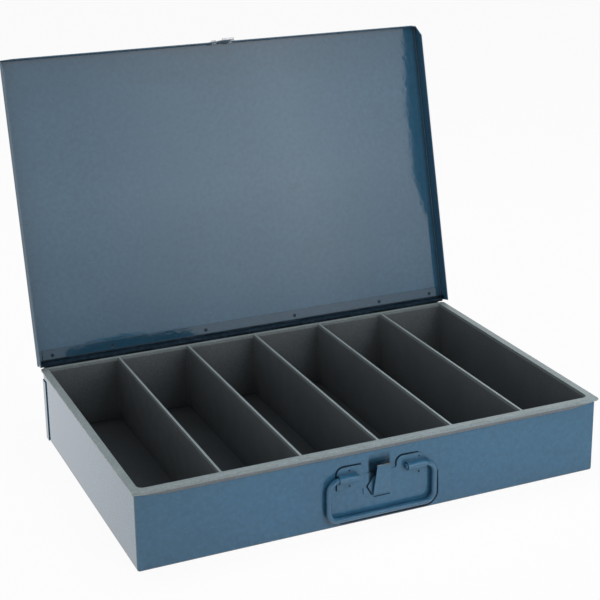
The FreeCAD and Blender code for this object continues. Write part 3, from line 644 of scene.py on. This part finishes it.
def pin_ends(material):
    """The peened ends of the hinge's pin, which stand out of its barrel."""
    low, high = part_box("hinge_pin")
    middle = hinge_axis()
    lie_across = Matrix.Rotation(math.pi / 2, 4, "Y")
    mesh = bmesh.new()
    for end, sign in ((low.x, -1), (high.x, 1)):
        place = Matrix.Translation((end + sign * PIN_END / 2, middle.y, middle.z)) @ lie_across
        bmesh.ops.create_cone(
            mesh, cap_ends=True, segments=PIN_STEPS, radius1=PIN_HEAD, radius2=PIN_HEAD, depth=PIN_END,
            matrix=place)
    soften_edges(mesh, PIN_EDGE)
    ends = add_mesh("pin_ends", mesh, material)
    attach(ends, "box")


def add_ribbon(mesh, path, depth):
    """A flat ribbon along a path of (across, up) points in mm, standing at this depth; thin at its ends."""
    pairs = []
    for number, (point, step) in enumerate(zip(path, square_steps(path))):
        half = LINE_WIDTH / 2 if 0 < number < len(path) - 1 else LINE_WIDTH / 4
        pair = []
        for sign in (1, -1):
            corner = Vector(point) + step * half * sign
            pair.append(mesh.verts.new((corner.x * MM, depth, corner.y * MM)))
        pairs.append(pair)
    for (first, second), (third, fourth) in zip(pairs, pairs[1:]):
        mesh.faces.new((first, second, fourth, third))


def shadow_lines_and_weld_marks(material):
    """Ribbons of painted shadow along the gaps beside the plate, the spring and the handle's wire, and the
    plate's weld marks.
    """
    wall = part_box("base_pan")[0].y
    mesh = bmesh.new()
    for lines, depth in ((WALL_SHADOW_LINES, wall), (PLATE_SHADOW_LINES, wall - PLATE)):
        for points, bends in lines:
            add_ribbon(mesh, rounded_path(points, bends), depth - LINE_LIFT)
    stand_up = Matrix.Rotation(math.pi / 2, 4, "X")
    for across, up in PLATE_WELDS:
        place = Matrix.Translation((across * MM, wall - PLATE - LINE_LIFT, up * MM)) @ stand_up
        bmesh.ops.create_circle(mesh, cap_ends=True, segments=WELD_STEPS, radius=WELD_MARK * MM, matrix=place)
    lines = add_mesh("gap_lines", mesh, material)
    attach(lines, "box")


def make_camera():
    data = bpy.data.cameras.new("photo_camera")
    data.sensor_width = SENSOR_WIDTH_MM
    data.lens = FOCAL_LENGTH_PX / PHOTO_SIDE_PX * SENSOR_WIDTH_MM
    data.shift_x = 0.5 - PRINCIPAL_POINT_PX[0] / PHOTO_SIDE_PX
    data.shift_y = PRINCIPAL_POINT_PX[1] / PHOTO_SIDE_PX - 0.5
    camera = bpy.data.objects.new("photo_camera", data)
    camera.location = CAMERA_PLACE
    up = CAMERA_RIGHT.cross(CAMERA_FORWARD)
    camera.rotation_mode = "QUATERNION"
    camera.rotation_quaternion = Matrix((CAMERA_RIGHT, up, -CAMERA_FORWARD)).transposed().to_quaternion()
    bpy.context.scene.collection.objects.link(camera)
    bpy.context.scene.camera = camera


def light_panel(name, place, target, width, height, radiance):
    """A soft rectangular lamp, turned to a target."""
    data = bpy.data.lights.new(name, "AREA")
    data.shape = "RECTANGLE"
    data.size = width
    data.size_y = height
    data.energy = radiance * math.pi * width * height
    lamp = bpy.data.objects.new(name, data)
    lamp.location = place
    lamp.rotation_mode = "QUATERNION"
    lamp.rotation_quaternion = (Vector(target) - Vector(place)).to_track_quat("-Z", "Y")
    lamp.visible_camera = False
    bpy.context.scene.collection.objects.link(lamp)
    return lamp


def shade_lamp(lamp, across, up, right_edge=None, lower_edge=None):
    """Let a lamp's brightness vary over its face, by stops along its width and its height.

    The lamp may end at two curved edges: right_edge has a place across for each height, and lower_edge
    a height for each place across.
    """
    lamp.data.use_nodes = True
    tree = Tree(lamp.data.node_tree)
    spot = tree.add("SeparateXYZ", vector=tree.add("NewGeometry").outputs["Parametric"]).outputs

    def along(place, stops):
        return tree.ramp(place, [(stop, grey(level)) for stop, level in stops])

    share = tree.math("MULTIPLY", along(spot["X"], across), along(spot["Y"], up))
    if right_edge:
        inside = tree.math("SUBTRACT", along(spot["Y"], right_edge), spot["X"])
        share = tree.math("MULTIPLY", share, tree.rescale(inside, 0, LAMP_FADE))
    if lower_edge:
        above = tree.math("SUBTRACT", spot["Y"], along(spot["X"], lower_edge))
        share = tree.math("MULTIPLY", share, tree.rescale(above, 0, LAMP_FADE))
    glow = tree.add("Emission", strength=share)
    output = tree.add("OutputLight")
    tree.set(output.inputs["Surface"], glow.outputs[0])


def make_lamps():
    """A shaped panel in front, light from above, a glow from the floor at the left and a key on the front."""
    lamps = {name: light_panel(name, *facts) for name, facts in LAMPS.items()}
    shade_lamp(lamps["front_panel"], FRONT_ACROSS, FRONT_UP, FRONT_RIGHT_EDGE, FRONT_LOWER_EDGE)
    shade_lamp(lamps["floor_glow"], EVEN, GLOW_UP)
    lamps["front_key"].data.spread = KEY_SPREAD
    lamps["front_key"].data.color = KEY_TINT
    for name in UNMIRRORED_LAMPS:
        lamps[name].visible_glossy = False


def seen_directly(tree):
    """1 for rays that show the background itself, in view, in a reflection or through glass."""
    path = tree.add("LightPath")
    seen = tree.math("MAXIMUM", path.outputs["Is Camera Ray"], path.outputs["Is Glossy Ray"])
    return tree.math("MAXIMUM", seen, path.outputs["Is Transmission Ray"])


def make_world():
    world = bpy.data.worlds.new("white_room")
    bpy.context.scene.world = world
    world.use_nodes = True
    tree = Tree(world.node_tree)
    strength = tree.rescale(seen_directly(tree), 0, 1, ROOM_LIGHT, 1.0)
    sky = tree.add("Background", color=grey(ROOM_TONE), strength=strength)
    output = tree.add("OutputWorld")
    tree.set(output.inputs["Surface"], sky.outputs[0])


def stage_sheet(name, corners, material):
    """A flat sheet of the studio, which isn't part of the object."""
    mesh = bpy.data.meshes.new(name)
    mesh.from_pydata(corners, [], [range(len(corners))])
    sheet = add_object(name, mesh, material)
    return sheet


def make_floor():
    """A white floor that shows as white and still takes a part of the object's shadow."""
    material, tree = new_material("white_floor")
    paint = tree.add("BsdfDiffuse", color=grey(FLOOR_TONE))
    white = tree.add("Emission")
    mix = tree.add("MixShader", fac=tree.rescale(seen_directly(tree), 0, 1, 0.0, FLOOR_WHITE_SHARE))
    tree.set(mix.inputs[1], paint.outputs[0])
    tree.set(mix.inputs[2], white.outputs[0])
    finish_material(tree, mix)
    ends = ((-1, -1), (1, -1), (1, 1), (-1, 1))
    stage_sheet("floor", [(x * FLOOR_REACH, y * FLOOR_REACH, 0) for x, y in ends], material)


def make_cards():
    """Dark cards behind the front lamp and above it, and a grey one at the left; only gloss mirrors them."""
    for name, (level, corners) in CARDS.items():
        material, tree = new_material(name)
        finish_material(tree, tree.add("Emission", strength=level))
        card = stage_sheet(name, corners, material)
        card.visible_camera = False
        card.visible_diffuse = False
        card.visible_shadow = False
        card.visible_transmission = False


blue = enamel("blue_enamel_dressed")
dress(["bail_handle", "catch_root", "catch_flap"], blue)
# The lid and rear panel carry painted shade on the hinge's barrel
dress(["lid_panel", "rear_panel"], enamel("sheet_enamel", FOLD_PAINTED_SHADE, shade_and_marks=barrel_painted_shade))
# The front carries painted shade behind the spring catch
dress(["base_pan", "handle_plate"], enamel("front_enamel", shade_and_marks=catch_painted_shade))
# The hinge's paint is darker, as painted shade, with painted shade on the barrel and weld marks on the leaf
hinge_paint = enamel("hinge_enamel", HINGE_PAINTED_SHADE, shade_and_marks=barrel_shade_and_weld_marks, tone=HINGE_SHADE_TONE)
dress(["hinge_leaf_box", "hinge_leaf_lid"], hinge_paint)
dress(["tray_insert"], moulding("grey_moulding_dressed"))
dress(["hinge_pin", "lid_strike", "strike_rivets"], plated("plated_steel_dressed"))
drop_handle(blue)
spring_catch(enamel("spring_enamel", bare_above=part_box("catch_flap")[1].z - RUBBED_DROP))
# Painted shadow ribbons along the gaps, and the plate's weld marks
shadow_lines_and_weld_marks(gap_shadow("gap_shadow"))
pin_ends(hinge_paint)

make_camera()
make_world()
make_floor()
make_cards()
make_lamps()

bpy.context.scene.view_settings.view_transform = "Standard"
